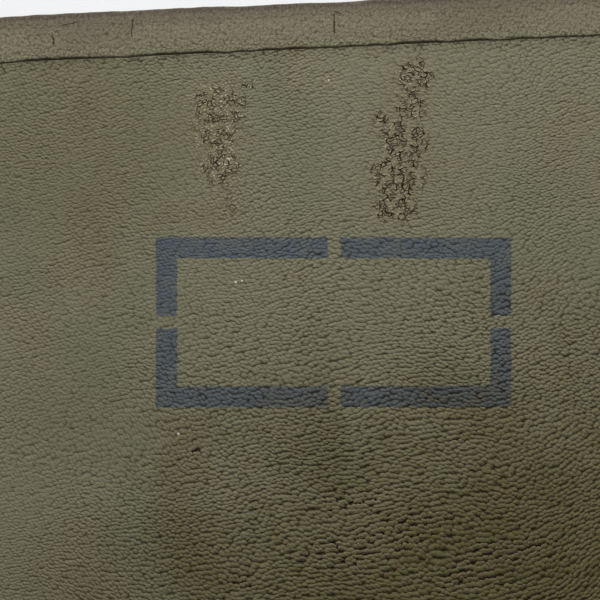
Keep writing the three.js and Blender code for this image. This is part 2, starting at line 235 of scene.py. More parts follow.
class Pattern:
    """One output socket of a material. Arithmetic on it adds Math nodes."""

    def __init__(self, tree, socket=None):
        self.tree = tree
        self.socket = socket

    def node(self, kind, settings=None, sockets=None, out=0):
        made = self.tree.nodes.new("ShaderNode" + kind)
        for key, value in (settings or {}).items():
            setattr(made, key, value)
        for key, value in (sockets or {}).items():
            if isinstance(value, Pattern):
                self.tree.links.new(value.socket, made.inputs[key])
            else:
                made.inputs[key].default_value = value
        return Pattern(self.tree, made.outputs[out])

    def twin(self, out):
        """Another output of the node that this one comes from."""
        return Pattern(self.tree, self.socket.node.outputs[out])

    def maths(self, operation, *values):
        return self.node("Math", {"operation": operation}, dict(enumerate(values)))

    def __add__(self, other):
        return self.maths("ADD", self, other)

    def __sub__(self, other):
        return self.maths("SUBTRACT", self, other)

    def __rsub__(self, other):
        return self.maths("SUBTRACT", other, self)

    def __mul__(self, other):
        return self.maths("MULTIPLY", self, other)

    def __pow__(self, other):
        return self.maths("POWER", self, other)

    def __abs__(self):
        return self.maths("ABSOLUTE", self)

    __radd__ = __add__
    __rmul__ = __mul__

    def most(self, other):
        return self.maths("MAXIMUM", self, other)

    def least(self, other):
        return self.maths("MINIMUM", self, other)

    def rise(self, low, high):
        """0 below low, 1 above high, and a smooth slope between."""
        sockets = {"Value": self, "From Min": low, "From Max": high}
        return self.node("MapRange", {"interpolation_type": "SMOOTHSTEP"}, sockets)

    def moved(self, operation, other):
        """Vector arithmetic with another vector."""
        return self.node("VectorMath", {"operation": operation}, {0: self, 1: other})

    def tint(self, share, colour, blend="MIX"):
        """This colour with another one over it, by that share."""
        settings = {"data_type": "RGBA", "blend_type": blend, "clamp_factor": True}
        return self.node("Mix", settings, {0: share, 6: self, 7: colour}, 2)

    def between(self, low, high):
        """The colour that lies this share of the way from one colour to another."""
        return self.node("Mix", {"data_type": "RGBA", "clamp_factor": True}, {0: self, 6: low, 7: high}, 2)

    def cloud(self, size, detail=2.0, out="Fac", space="2D"):
        """Soft noise with features of about that size, in the units of this vector."""
        sockets = {"Vector": self, "Scale": 1 / size, "Detail": detail}
        return self.node("TexNoise", {"noise_dimensions": space}, sockets, out)

    def cells(self, feature, jitter=1.0):
        """Voronoi cells one unit of this vector across."""
        settings = {"voronoi_dimensions": "2D", "feature": feature}
        sockets = {"Vector": self, "Scale": 1.0, "Randomness": jitter}
        return self.node("TexVoronoi", settings, sockets, "Distance")

    def stretched(self, size, turn=0.0):
        """This place measured in cells of that size, in rows that climb by turn degrees."""
        sockets = {"Vector": self, "Rotation": (0, 0, math.radians(turn)), "Scale": (*size, 1)}
        return self.node("Mapping", {"vector_type": "TEXTURE"}, sockets)

    def shaken(self, size, amount):
        """This place pushed about by soft noise of that size, by up to about half of amount each way."""
        push = self.cloud(size, 1.0, "Color").moved("SUBTRACT", (0.5, 0.5, 0.5))
        return self.moved("ADD", push.moved("MULTIPLY", (*amount, 0)))

    def part(self, axis):
        return self.node("SeparateXYZ", None, {0: self}, axis)

    def spot(self, column, row, wide, high, climb=0):
        """1 in the middle of an ellipse given in the photo's pixels, 0 at its edge, and below 0 beyond."""
        sockets = {
            "Vector": self, "Location": (*on_lid(column, row), 0), "Rotation": (0, 0, math.radians(climb)),
            "Scale": (wide / PIXELS_PER_MM, high / PIXELS_PER_MM, 1),
        }
        local = self.node("Mapping", {"vector_type": "TEXTURE"}, sockets)
        return 1 - local.node("VectorMath", {"operation": "LENGTH"}, {0: local}, 1)

    def spots(self, table):
        """The strongest of several spots: rows of column, row, half width, half height and strength."""
        total = None
        for column, row, wide, high, strength in table:
            one = self.spot(column, row, wide, high) * strength
            total = total.most(one) if total else one
        return total


def finish_of(name, colour, roughness, height, metal=0.0, **steady):
    """Joins worked-out colour, roughness, metal share and height (in millimetres) to one material."""
    tree = colour.tree
    shader = tree.nodes["Principled BSDF"]
    bump = colour.node("Bump", None, {"Height": height, "Distance": MM, "Strength": 1.0}, "Normal")
    varied = {"Base Color": colour, "Roughness": roughness, "Metallic": metal, "Normal": bump}
    for key, value in varied.items():
        if isinstance(value, Pattern):
            tree.links.new(value.socket, shader.inputs[key])
        else:
            shader.inputs[key].default_value = value
    for key, value in steady.items():
        shader.inputs[key.replace("_", " ")].default_value = value
    print(name, "uses", len(tree.nodes), "nodes")


FLAT_MAP = "millimetres"  # the UV map of the halves, the bindings and the grip


def new_material(name):
    """A new material and the place on its surface, in millimetres."""
    made = bpy.data.materials.new(name)
    made.use_nodes = True
    return made, Pattern(made.node_tree).node("UVMap", {"uv_map": FLAT_MAP})


def srgb(red, green, blue):
    """A colour named by its 0 to 255 screen values, as the linear one that shaders use."""
    def linear(value):
        value = value / 255
        return value / 12.92 if value <= 0.04045 else ((value + 0.055) / 1.055) ** 2.4
    return (linear(red), linear(green), linear(blue), 1)


# %% [markdown]
# ## Pebbled hide: the grain
# The hide's grain is a field of small pebbles, about 1.7 by 1.5 mm and finer towards the top edge, in rows
# that climb to the right. Lower down, the crevices between rows are deep and dark and those within a row are
# faint. Near the top the pebbles are rounder and shallower. They could be sculpted, but a face this size
# would need millions of triangles, so Voronoi cells give the pebbles as bump, and the crevices as painted
# shade and dirt, since a bump casts no shadows of its own. Every surface of hide carries a UV map in
# millimetres, so the grain keeps its size on face and walls.

# %% Pebbles, crevices and ridges
hide, place = new_material("olive_hide")
PEBBLE = (1.68, 1.52)
FINER = 0.27  # how much smaller the pebbles are towards the top of the face and on the walls
ROW_CLIMB = 11.0
ROW_OFFSET = 0.3
JITTER = 0.7
GRAIN_MIDDLE = (*on_lid(300, 260), 0)
DEEP_GRAIN = [(445, 700, 500, 610, 1.08)]
# the face darkens towards the lower right: painted shade where the light falls off, and dirt
SHADED_AND_SOILED = [(530, 690, 600, 465, 1.1)]
lower = place.spots(DEEP_GRAIN).rise(0.0, 0.9)
lower_right = (place.spots(SHADED_AND_SOILED) + place.cloud(40, 2.0) * 0.5 - 0.25).rise(0.0, 0.85)
lively = place.shaken(70, (6, 15)).shaken(9, (1.6, 1.2)).shaken(1.8, (0.6, 0.45)).shaken(0.6, (0.42, 0.34))
sized = lively.moved("SUBTRACT", GRAIN_MIDDLE).moved("MULTIPLY", 1 + (1 - lower) * FINER)
rows_of = sized.stretched(PEBBLE, ROW_CLIMB)
row_shift = rows_of.part(1) * ROW_OFFSET
grid = place.node("CombineXYZ", None, {0: rows_of.part(0) + row_shift, 1: rows_of.part(1)})
near = grid.cells("F1", JITTER)
pebble_tone = near.twin("Color").part(0)
lean = grid.moved("SUBTRACT", near.twin("Position"))
ROW_STEEP = 2.6
side_steep = 2.3 - lower * 1.05 - lower_right * 0.4  # lower down, the pebbles of a row run together
valley = lean.part(1) ** 2 * ROW_STEEP + lean.part(0) ** 2 * side_steep
broken = lively.cloud(3.0, 1.0).rise(0.36, 0.62)
crevice = valley.rise(0.36, 0.92) * (0.2 + broken * 0.8)
ridge = lively.stretched((9, 2.3), ROW_CLIMB + 2).cloud(1.0, 1.0)
fine = place.cloud(0.55, 2.0)
depth = 0.125 + place.cloud(30, 1.0).rise(0.3, 0.7) * 0.06 + lower * 0.275 + lower_right * 0.18
grain_height = (pebble_tone * 0.3 - valley + ridge * (0.12 + lower * 0.68)) * depth + fine * 0.19
print("pebbles of", PEBBLE, "mm in rows that climb", ROW_CLIMB, "degrees")

# %% [markdown]
# ## Pebbled hide: age
# Two places on the face have dried out and cracked: the finish broke into small plates, dirt filled the
# cracks, and some edges curled up and carry a painted highlight. Brown stains, pits and pale specks lie
# elsewhere, and the lips of the pits carry a painted highlight too. They could be painted on an image, but an
# image has one fixed size. So each kind is a short table of ellipses in the photo's pixels, made ragged by
# noise, and a pattern that only shows inside them. The rest of the case has faint stains from noise alone.

# %% Cracked places, stains and specks
FINE_CRACKS = [
    (220, 106, 40, 32, 1.0), (216, 134, 33, 28, 0.95), (220, 168, 31, 34, 0.85), (250, 87, 28, 11, 0.6),
    (232, 205, 17, 21, 0.45), (292, 190, 9, 9, 0.4), (326, 82, 9, 12, 0.4),
]
PLATE_CRACKS = [
    (415, 78, 25, 24, 1.0), (411, 106, 22, 22, 0.9), (403, 142, 33, 28, 1.0), (397, 176, 38, 30, 1.0),
    (394, 208, 31, 22, 0.95), (380, 120, 13, 10, 0.8),
]
STAINS = [
    (97, 230, 34, 95, 0.55), (87, 117, 24, 45, 0.4), (205, 215, 58, 24, 0.7), (182, 450, 40, 62, 1.1),
    (188, 550, 46, 76, 1.1), (84, 585, 46, 36, 1.0), (232, 582, 18, 16, 1.0), (300, 262, 12, 30, 0.5),
    (430, 525, 80, 50, 0.9), (510, 500, 70, 110, 0.9), (220, 150, 50, 90, 0.4), (400, 140, 52, 105, 0.4),
]
PITS = [
    (192, 451, 16, 9, 0.8), (405, 526, 80, 26, 1.0), (350, 552, 70, 22, 1.0), (505, 548, 70, 22, 1.0),
    (465, 576, 70, 20, 1.0), (238, 580, 18, 14, 0.9), (360, 500, 70, 18, 0.7), (450, 440, 26, 12, 0.5),
]
SPECKS = [(179, 433, 1.6, 1.6, 1.0), (236, 282, 1.5, 1.5, 1.0), (242, 281, 1.3, 1.3, 1.0)]
CRACK_TURN = 6.0
ragged = place.cloud(5, 2.0) * 1.1 + place.cloud(1.6, 1.0) * 0.8 - 0.95
fine_wear = (place.spots(FINE_CRACKS) + ragged * 0.6).rise(0.12, 0.5)
plate_wear = (place.spots(PLATE_CRACKS) + ragged * 0.45).rise(0.1, 0.42)
bent = place.shaken(4, (2.6, 2.6)).shaken(1.5, (0.9, 0.9))
plates = bent.stretched((3.2, 2.4), CRACK_TURN).cells("DISTANCE_TO_EDGE")
chips = bent.stretched((1.6, 1.25), CRACK_TURN).cells("DISTANCE_TO_EDGE")
plate_gap = (1 - plates.rise(0.02, 0.09)) * place.cloud(2.6, 1.0).rise(0.33, 0.5)
chip_gap = (1 - chips.rise(0.03, 0.22)) * place.cloud(2.6, 1.0).rise(0.36, 0.56)
plate_crack = plate_gap.most(chip_gap * 0.7) * plate_wear
fine_crack = (chip_gap * 0.75 + plate_gap * 0.2) * fine_wear
crack = plate_crack.most(fine_crack).least(1.0)
worn = plate_wear.most(fine_wear)
scales = bent.stretched((0.85, 0.7), CRACK_TURN).cells("F1")
curled = (1 - scales.rise(0.2, 0.45)) * place.cloud(1.3, 1.0).rise(0.42, 0.58)
# a painted highlight along the curled lips of the cracks
lip_highlights = plates.rise(0.07, 0.11) * (1 - plates.rise(0.13, 0.2)) * place.cloud(1.2, 1.0).rise(0.46, 0.6)
flake = (curled * (fine_wear + plate_wear * 0.3)).most(lip_highlights * plate_wear * 0.7).least(1.0)
anywhere = place.cloud(60, 4.0).rise(0.56, 0.74) * 0.5
stain = (place.spots(STAINS) + place.cloud(13, 3.0) * 1.2 - 0.6).rise(0.0, 0.8).most(anywhere)
pit_place = (place.spots(PITS) + ragged * 0.9).rise(0.05, 0.6)
pit_depth = valley + fine * 0.6 + pit_place * 0.25
pit = pit_depth.rise(1.1, 1.24) * pit_place
# a painted highlight on the lips of the pits
pit_lip_highlight = pit_depth.rise(0.86, 0.98) * (1 - pit_depth.rise(1.02, 1.12)) * pit_place
speck = place.spots(SPECKS).rise(0.0, 0.5)
crack_spots = len(FINE_CRACKS) + len(PLATE_CRACKS)
print(crack_spots, "cracked spots,", len(STAINS), "stains,", len(PITS), "pitted spots")

# %% [markdown]
# ## Pebbled hide: painted shade and dirt along the seam
# Where the hide panel dips under the bound edge it is darkened: painted shade under the edge, and dust and
# old polish that gather there. They could be brushed on as vertex colours, but those need a fine mesh. The
# seam is a rectangle with round corners, so the distance to it can be worked out, and noise on that distance
# gives a thin ragged dark line and a faint haze beside it.

# %% Painted shade and dirt along the seam with the bound edge
SEAM_INSET = BINDING_WIDTH - PROUD
SEAM_CORNER = CORNER - SEAM_INSET
beyond_x = abs(place.part(0)) - (HALF_X - CORNER)
beyond_y = abs(place.part(1) + CENTRE_Y) - (HALF_Y - CORNER)
round_corner = (beyond_x.most(0.0) ** 2 + beyond_y.most(0.0) ** 2) ** 0.5
from_seam = SEAM_CORNER - round_corner - beyond_x.most(beyond_y).least(0.0)
on_panel = from_seam.rise(-2.0, -1.0)
seam_ragging = place.cloud(1.1, 2.0) * 1.5 + place.cloud(5.0, 1.0) * 1.7 - 1.6
# painted shade under the bound edge, with dirt: a thin ragged dark line and a faint haze beside it
seam_shade_and_soil = (1 - (from_seam - seam_ragging).rise(0.1, 1.3)) * on_panel
seam_shade_and_dirt_haze = (1 - (from_seam - seam_ragging * 2.0).rise(0.3, 4.5)) * on_panel
print(f"seam {SEAM_INSET:.1f} mm in from the wall, with corners of {SEAM_CORNER:.1f} mm")

# %% [markdown]
# ## Pebbled hide: a stencilled panel
# A plain blank panel, for an owner's mark, is stencilled on the middle of the face in blue-grey ink. A decal
# would need a picture, so it is worked out from the distance to a rectangle: the frame's stroke is what lies
# between an outer and an inner rectangle, less the bridges that hold a stencil together. The ink lies on the
# pebbles and leaves the deepest crevices dark.

# %% The stencilled panel
PANEL_MIDDLE = on_lid(334, 322)
PANEL_TURN = ROLL  # it was stencilled a little askew, square with the photo
PANEL_HALF = (59.0, 28.2)
STROKE = 7.0
BRIDGE = 4.2
INK_EDGE = 0.2
panel_frame = {
    "Vector": place.shaken(2.0, (0.9, 0.9)),
    "Location": (*PANEL_MIDDLE, 0),
    "Rotation": (0, 0, PANEL_TURN),
}
ink_place = place.node("Mapping", {"vector_type": "TEXTURE"}, panel_frame)
across, upright = abs(ink_place.part(0)), abs(ink_place.part(1))
outer_edge = (across - PANEL_HALF[0]).most(upright - PANEL_HALF[1])
inner_edge = (across - (PANEL_HALF[0] - STROKE)).most(upright - (PANEL_HALF[1] - STROKE))
bridge_edges = (BRIDGE / 2 - INK_EDGE, BRIDGE / 2 + INK_EDGE)
bridges = across.rise(*bridge_edges) * upright.rise(*bridge_edges)
stroke = (1 - outer_edge.rise(-INK_EDGE, INK_EDGE)) * inner_edge.rise(-INK_EDGE, INK_EDGE)
ink = stroke * bridges * (0.82 + place.cloud(6, 3.0).rise(0.3, 0.6) * 0.18)
print("stencilled panel", [2 * length for length in PANEL_HALF], "mm, stroke", STROKE, "mm")

# %% [markdown]
# ## Pebbled hide: put together
# The colours are laid over each other: the dyed hide, the ink, then stains, wear and dirt as they came on the
# real case, with painted shade and painted highlights among them. The face darkens towards the lower right,
# partly painted shade where the light falls off and partly dirt, and it is a little darker towards its left
# side. One ramp over all would be shorter, but separate layers can each be judged against the photo.

# %% The hide's colour, gloss and height
OLIVE = srgb(117, 114, 90)
OLIVE_LIGHT = srgb(134, 131, 106)
GREEN_GREY = srgb(113, 116, 93)
BROWN_STAIN = srgb(118, 106, 80)
INK = srgb(81, 89, 98)
BARE = srgb(130, 119, 88)
# the colour of the painted highlights
PALE_HIGHLIGHT = srgb(202, 192, 164)
# painted shade and dirt for the crevices
CREVICE_SHADE_AND_DIRT = srgb(38, 34, 10)
# dirt in the cracks and pits, and painted shade along the seam
CRACK_DIRT_AND_SEAM_SHADE = srgb(38, 28, 10)
# multiplied over the face: painted shade and dirt
SHADE_AND_DIRT = srgb(190, 184, 146)
SPECK_PALE = srgb(205, 203, 190)
WALL_DIRT = srgb(214, 208, 194)  # the walls have been handled more than the face
WALL_ZONE = 3000.0  # in the UV map the walls lie this far to the right of the face
on_walls = place.part(0).rise(WALL_ZONE / 2, WALL_ZONE / 2 + 100)
mottle = place.cloud(48, 3.0)
hide_colour = (pebble_tone * 0.4 + fine * 0.5).between(OLIVE, OLIVE_LIGHT)
hide_colour = hide_colour.tint(mottle.rise(0.5, 0.7) * 0.5, GREEN_GREY)
hide_colour = hide_colour.tint(ink * 0.93, INK)
hide_colour = hide_colour.tint(stain * 0.5 * (1 - ink * 0.7), BROWN_STAIN)
# the face is a little darker towards its left side
DARKER_LEFT = [(70, 130, 190, 190, 1.0), (75, 415, 150, 120, 0.42)]
darker_left = place.spots(DARKER_LEFT).rise(0.0, 0.7)
brown_patches = place.cloud(6, 3.0).rise(0.48, 0.58) * lower_right
hide_colour = hide_colour.tint(brown_patches * 0.6, BROWN_STAIN)
# darker towards the lower right, painted shade and dirt, and a little darker towards the left side
hide_colour = hide_colour.tint((lower_right * 0.9).most(darker_left * 0.35), SHADE_AND_DIRT, "MULTIPLY")
hide_colour = hide_colour.tint(on_walls * 0.8, WALL_DIRT, "MULTIPLY")
hide_colour = hide_colour.tint(worn * 0.22, BARE)
# painted highlight along the curled flake edges
hide_colour = hide_colour.tint(flake * 0.9, PALE_HIGHLIGHT)
# painted shade and dirt in the crevices, stronger lower down, under the ink and beside the seam: the bump
# casts no shadows of its own
crevice_shade_and_dirt_share = 0.22 + lower * 0.57 + ink * (0.1 + lower * 0.4) + seam_shade_and_dirt_haze * 0.5
hide_colour = hide_colour.tint(crevice * (1 - worn * 0.6) * crevice_shade_and_dirt_share, CREVICE_SHADE_AND_DIRT)
# painted shade and dirt along the seam under the bound edge
hide_colour = hide_colour.tint((seam_shade_and_soil * 0.52).most(seam_shade_and_dirt_haze * 0.12), CRACK_DIRT_AND_SEAM_SHADE)
# painted highlight on the lips of the pits
hide_colour = hide_colour.tint(pit_lip_highlight * 0.16, PALE_HIGHLIGHT)
hide_colour = hide_colour.tint((crack * 1.15).most(pit), CRACK_DIRT_AND_SEAM_SHADE)
hide_colour = hide_colour.tint(speck, SPECK_PALE)
worn_height = grain_height * (1 - worn * 0.4) - crack * 0.25 - pit * 0.6 + flake * 0.16 + worn * fine * 0.15
finish_of("olive hide", hide_colour, 0.52 + fine * 0.2 + worn * 0.12, worn_height, Specular_IOR_Level=0.14)

# %% [markdown]
# ## Making a mesh from rings
# Both halves and both bindings are skins stretched over rings that follow the outline. Bevelled boxes would
# come near, but rings put every edge and the whole UV map where they are wanted. One function makes the ring
# at any inset, one joins rings to a mesh with UVs.

# %% Rings and skins
CORNER_STEPS = 12
LONG_STOPS = 260
SHORT_STOPS = 150
HINGE_X = 160.0  # the middle of each hinge
HINGE_HALF = 22.3  # half the length of the notch that the rims have for it
HINGE_SIDE = 0.3  # the run of the notch's ends
RIM_NOTCH = 2.4  # the notch's depth


def side_stops(half_length, count, marks=()):
    """Places along a straight side, from +half_length to -half_length, with extra ones at the marks."""
    stops = list(np.linspace(half_length, -half_length, count))
    inner = [stop for stop in stops[1:-1] if all(abs(stop - mark) > 1 for mark in marks)]
    return sorted([stops[0], *inner, *marks, stops[-1]], reverse=True)


hinge_marks = [
    side * HINGE_X + edge * (HINGE_HALF + step)
    for side in (1, -1) for edge in (1, -1) for step in (0, HINGE_SIDE)
]
long_stops = side_stops(HALF_X - CORNER, LONG_STOPS, hinge_marks)
short_stops = side_stops(HALF_Y - CORNER, SHORT_STOPS)


def outline(inset):
    """The outline moved in by inset, as (x, y) from the case's middle. It starts in the middle of the hinge
    side and runs by the photo's left, front and right back to it."""
    radius = CORNER - inset
    far_x, far_y = HALF_X - CORNER, HALF_Y - CORNER
    rear, side = far_y + radius, far_x + radius
    turns = np.radians(np.linspace(0, 90, CORNER_STEPS + 1)[1:-1])
    corner = [(far_x + radius * math.sin(a), far_y + radius * math.cos(a)) for a in turns]
    points = [(x, rear) for x in reversed(long_stops) if x >= 0]
    points.extend(corner)
    points.extend((side, y) for y in short_stops)
    points.extend((x, -y) for x, y in reversed(corner))
    points.extend((x, -rear) for x in long_stops)
    points.extend((-x, -y) for x, y in corner)
    points.extend((-side, y) for y in reversed(short_stops))
    points.extend((-x, y) for x, y in reversed(corner))
    points.extend((x, rear) for x in reversed(long_stops) if x < 0)
    return np.array(points)


hide_outline = outline(0)
steps = np.linalg.norm(np.roll(hide_outline, -1, axis=0) - hide_outline, axis=1)
along = np.concatenate([[0], np.cumsum(steps)])
front_x = np.where(hide_outline[:, 1] < 0, np.abs(hide_outline[:, 0]), np.inf)
front_middle = int(np.argmin(front_x))
along = along - along[front_middle] - hide_outline[front_middle, 0]  # on the front run this is -X
print("outline of", len(hide_outline), "points,", round(along[-1] - along[0]), "mm round")


def made_piece(name, points, faces, uvs, finishes, finish):
    """An object from points in millimetres, with its UV map in millimetres and its faces pointing out."""
    mesh = bpy.data.meshes.new(name)
    mesh.from_pydata([tuple(value * MM for value in point) for point in points], [], faces)
    layer = mesh.uv_layers.new(name=FLAT_MAP)
    layer.data.foreach_set("uv", np.array(uvs, np.float32).ravel())
    for material in finishes:
        mesh.materials.append(material)
    mesh.polygons.foreach_set("material_index", finish)
    mesh.polygons.foreach_set("use_smooth", [True] * len(faces))
    mesh.update()
    made = bmesh.new()
    made.from_mesh(mesh)
    bmesh.ops.recalc_face_normals(made, faces=made.faces)
    made.to_mesh(mesh)
    made.free()
    piece = bpy.data.objects.new(name, mesh)
    scene.collection.objects.link(piece)
    print(name, len(mesh.polygons), "faces")
    return piece


def skin(name, rows, finishes, hoop=False):
    """A mesh over rings. Each row is a dict with its ring of (x, y, z), its zone, which maps the band after
    it, and its finish. A skin that isn't a hoop is closed by a point in the middle of each end ring."""
    count = len(hide_outline)
    rings = [np.asarray(row["ring"], float) + (0, CENTRE_Y, 0) for row in rows]
    points = [tuple(point) for ring in rings for point in ring]
    faces, uvs, finish = [], [], []
    for r in range(len(rings) if hoop else len(rings) - 1):
        s = (r + 1) % len(rings)
        zone = rows[r]["zone"]
        here, there = zone(rings[r], rows[r]), zone(rings[s], rows[s])
        for k in range(count):
            n = (k + 1) % count
            faces.append((r * count + k, r * count + n, s * count + n, s * count + k))
            uvs.extend((here[k], here[k + 1], there[k + 1], there[k]))
            finish.append(rows[r]["finish"])
    closed_ends = () if hoop else ((0, -1), (len(rings) - 1, 1))
    for r, order in closed_ends:
        hub = len(points)
        middle = rings[r].mean(axis=0)
        points.append(tuple(middle))
        uv = rows[r]["zone"](rings[r], rows[r])
        hub_at = rows[r]["zone"](np.array([middle] * count), rows[r])[0]
        for k in range(count):
            n = (k + 1) % count
            corners = ((r * count + k, uv[k]), (r * count + n, uv[k + 1]), (hub, hub_at))[::order]
            faces.append(tuple(index for index, at in corners))
            uvs.extend(at for index, at in corners)
            finish.append(rows[r]["finish"])
    return made_piece(name, points, faces, uvs, finishes, finish)


def dress(piece, body, slot, *nodes):
    """Says which body a piece moves with and which CAD nodes it stands for. The finish slot is not used."""
    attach(piece, body)
    if nodes:
        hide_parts(*nodes)


# %% [markdown]
# ## The two halves
# Each half is board covered in one hide panel on the face and another round the walls, and turned in over
# the rim. The inside is the plain board itself. A box with modifiers could give the shape, but not the small
# steps at the seam. The face swells a little and is not quite flat, so slow noise moves it by a few tenths of
# a millimetre.

# %% Build the halves
INSIDE_ZONE = 6000.0  # how far off the inside lies in the UV map
BASE_SHIFT = 900.0  # and the base, so that it doesn't repeat the lid
OUTSIDE, INSIDE = 0, 1  # the order of the finishes on a half
SEAM_GAP = 0.22
PANEL_EDGE = SEAM_INSET + SEAM_GAP  # where the hide panel meets the binding
PANEL_LIFT = 0.9  # the panel's height at that edge
PANEL_BEVEL, PANEL_DROP = 0.25, 0.2
GROOVE_FLOOR = 0.5
RIM_ROUND = 1.3
RIM_CLEAR = 6.0
FACE_STIR = 0.35
FACE_RINGS = 33
CLOSE_RINGS = (0.99, 0.9965, 1)  # they keep the shading flat right up to the seam


def face_zone(ring, row):
    flat = -ring[:, :2] + row["shift"]
    return np.concatenate([flat, flat[:1]])


def wall_zone(ring, row):
    high = np.concatenate([ring[:, 2], ring[:1, 2]])
    return np.stack([along + WALL_ZONE + row["shift"], high], axis=1)


def inside_zone(ring, row):
    return wall_zone(ring, row) + INSIDE_ZONE


def inside_face_zone(ring, row):
    return face_zone(ring, row) + INSIDE_ZONE


def quarter_turn(count):
    """Pairs of sine and cosine round a quarter turn."""
    return [(math.sin(a), math.cos(a)) for a in np.linspace(0, math.pi / 2, count)]


def half_rows(rim, face, crown, shift):
    """The rings of one half, from the middle of its face over wall and rim to the middle of its inside."""
    up = 1 if face > rim else -1
    depth = abs(face - rim)
    rows = []

    def ring(inset, height, zone, finish, scale=1.0, stir=0.0):
        flat = outline(inset) * scale
        z = np.full(len(flat), rim + up * height)
        if stir:
            slow = [noise.noise((x / 60, y / 60, shift)) + 0.5 * noise.noise((x / 27, y / 27, shift + 5))
                    for x, y in flat]
            z = z + stir * np.array(slow)
        rows.append({"ring": np.column_stack([flat, z]), "zone": zone, "finish": finish, "shift": shift})

    for scale in (*np.linspace(0.03, 0.97, FACE_RINGS), *CLOSE_RINGS):
        swell = PANEL_LIFT + (crown - PANEL_LIFT) * (1 - scale ** 2)
        ring(PANEL_EDGE, depth + swell, face_zone, OUTSIDE, scale, FACE_STIR * (1 - scale ** 6))
    ring(PANEL_EDGE - PANEL_BEVEL, depth + PANEL_LIFT - PANEL_DROP, face_zone, OUTSIDE)
    ring(PANEL_EDGE - 2 * PANEL_BEVEL, depth + GROOVE_FLOOR, face_zone, OUTSIDE)
    for sine, cosine in quarter_turn(6):
        zone = face_zone if sine < cosine else wall_zone
        ring(EDGE * (1 - sine), depth - EDGE * (1 - cosine), zone, OUTSIDE)
    for height in np.linspace(depth - EDGE - RIM_CLEAR, RIM_CLEAR, 6):
        ring(0, height, wall_zone, OUTSIDE)
    rim_from = len(rows)
    for sine, cosine in quarter_turn(5):
        ring(RIM_ROUND * (1 - cosine), RIM_ROUND * (1 - sine), wall_zone, OUTSIDE)
    for sine, cosine in reversed(quarter_turn(5)):
        ring(WALL - RIM_ROUND * (1 - cosine), RIM_ROUND * (1 - sine), wall_zone, OUTSIDE)
    rim_to = len(rows)
    for height in np.linspace(RIM_CLEAR, depth - WALL - EDGE - 1, 4):
        ring(WALL, height, inside_zone, INSIDE)
    for sine, cosine in reversed(quarter_turn(5)):
        zone = inside_zone if sine > cosine else inside_face_zone
        ring(WALL + EDGE * (1 - sine), depth - WALL - EDGE * (1 - cosine), zone, INSIDE)
    for scale in np.linspace(1, 0.05, 8):
        ring(PANEL_EDGE, depth - WALL + crown * (1 - scale ** 2), inside_face_zone, INSIDE, scale)
    for row in rows[rim_from:rim_to]:
        from_hinge = np.abs(np.abs(row["ring"][:, 0]) - HINGE_X)
        at_hinge = (from_hinge <= HINGE_HALF + 0.01) & (row["ring"][:, 1] > 0)
        row["ring"][at_hinge, 2] += up * RIM_NOTCH
    return rows


BOARD_PALE = srgb(140, 124, 96)
BOARD_BROWN = srgb(116, 102, 76)
FIBRE_DARK = srgb(96, 84, 62)
board, place = new_material("plain_board")
fibres = place.shaken(12, (5, 5)).stretched((5, 0.5), 20).cloud(1.0, 3.0)
board_colour = place.cloud(45, 3.0).between(BOARD_PALE, BOARD_BROWN)
board_colour = board_colour.tint(fibres.rise(0.5, 0.75) * 0.4, FIBRE_DARK)
finish_of("board", board_colour, 0.85, fibres * 0.1 + place.cloud(0.8, 2.0) * 0.06)

lid_hide = skin("lid_hide", half_rows(LID_RIM, LID_FACE, LID_CROWN, 0.0), [hide, board])
base_hide = skin("base_hide", half_rows(BASE_RIM, BASE_FACE, BASE_CROWN, BASE_SHIFT), [hide, board])
dress(lid_hide, "lid", "hide", "lid_shell")
dress(base_hide, "base", "hide", "base_shell")

# %% [markdown]
# ## The bound edges: finish
# A strip of thinner, finer-grained hide is folded over the edge between the face and the walls. It has gone
# browner than the panels, its grain is drawn out across the strip, and its cut edges are dark with old glue.
# Its colour darkens towards the fold, partly rubbed dirt and partly painted shade, and its grain carries a
# painted highlight on the tops of its beads, strongest along the inner edge, and painted shade and dirt in
# the hollows between them. The panels' finish could serve again in other colours, but its pebbles are too
# large. The strip's UV map runs along it and across it, and its front run lines up with the face's map, so
# tables in the photo's pixels place its splits and brown runs too.

# %% The binding's finish
binding, place = new_material("edge_binding")
STRIP_START = -TOP_EDGE - BINDING_WIDTH  # the strip's inner edge in the face's map
SPLITS = [  # column, row, half width, half height, climb in degrees
    (133, 28, 0.8, 13, -10), (334, 26, 0.7, 15, -4), (338, 14, 5, 0.7, -25), (70, 25, 14, 0.6, 10),
    (54, 42, 0.7, 7, 3),
]
BROWN_RUNS = [
    (90, 25, 90, 26, 1.0), (180, 20, 60, 14, 0.7), (480, 12, 110, 30, 0.9), (300, 15, 60, 10, 0.5),
]
GLUE_FROM = BINDING_WIDTH + BINDING_SIDE - 5  # the wall edge is dark from here on
across = place.part(1) - STRIP_START
drawn = place.shaken(3, (1.0, 0.8)).shaken(1.2, (0.4, 0.4))
bead = drawn.stretched((0.95, 1.15), -4).cells("F1", 0.95)
blobs = drawn.cloud(1.1, 2.0)
patchy = place.cloud(3, 1.0).rise(0.35, 0.65)
streaks = drawn.stretched((0.8, 1.9), -3).cloud(1.0, 2.0)
split_place = place.shaken(2.2, (1.0, 0.6)).shaken(0.8, (0.5, 0.3))
split = 0.0
for mark in SPLITS:
    split = split_place.spot(*mark).rise(0.0, 0.5) + split
frayed = across + place.cloud(2.2, 2.0) * 1.6 - 0.8  # millimetres from the inner edge, made uneven
# painted shade across the strip towards the fold, with rubbed dirt, eased off again at the outermost round
fold = frayed.rise(2.5, 6.5) * 0.27 + frayed.rise(8.5, 13) * 0.32 + frayed.rise(12.3, 14.6) * 0.27
fold = (fold - frayed.rise(16.2, 18.4) * 0.5) * (0.7 + streaks * 0.6)
brown_head = frayed.rise(8, 15)
green_foot = 1 - frayed.rise(1.5, 7)
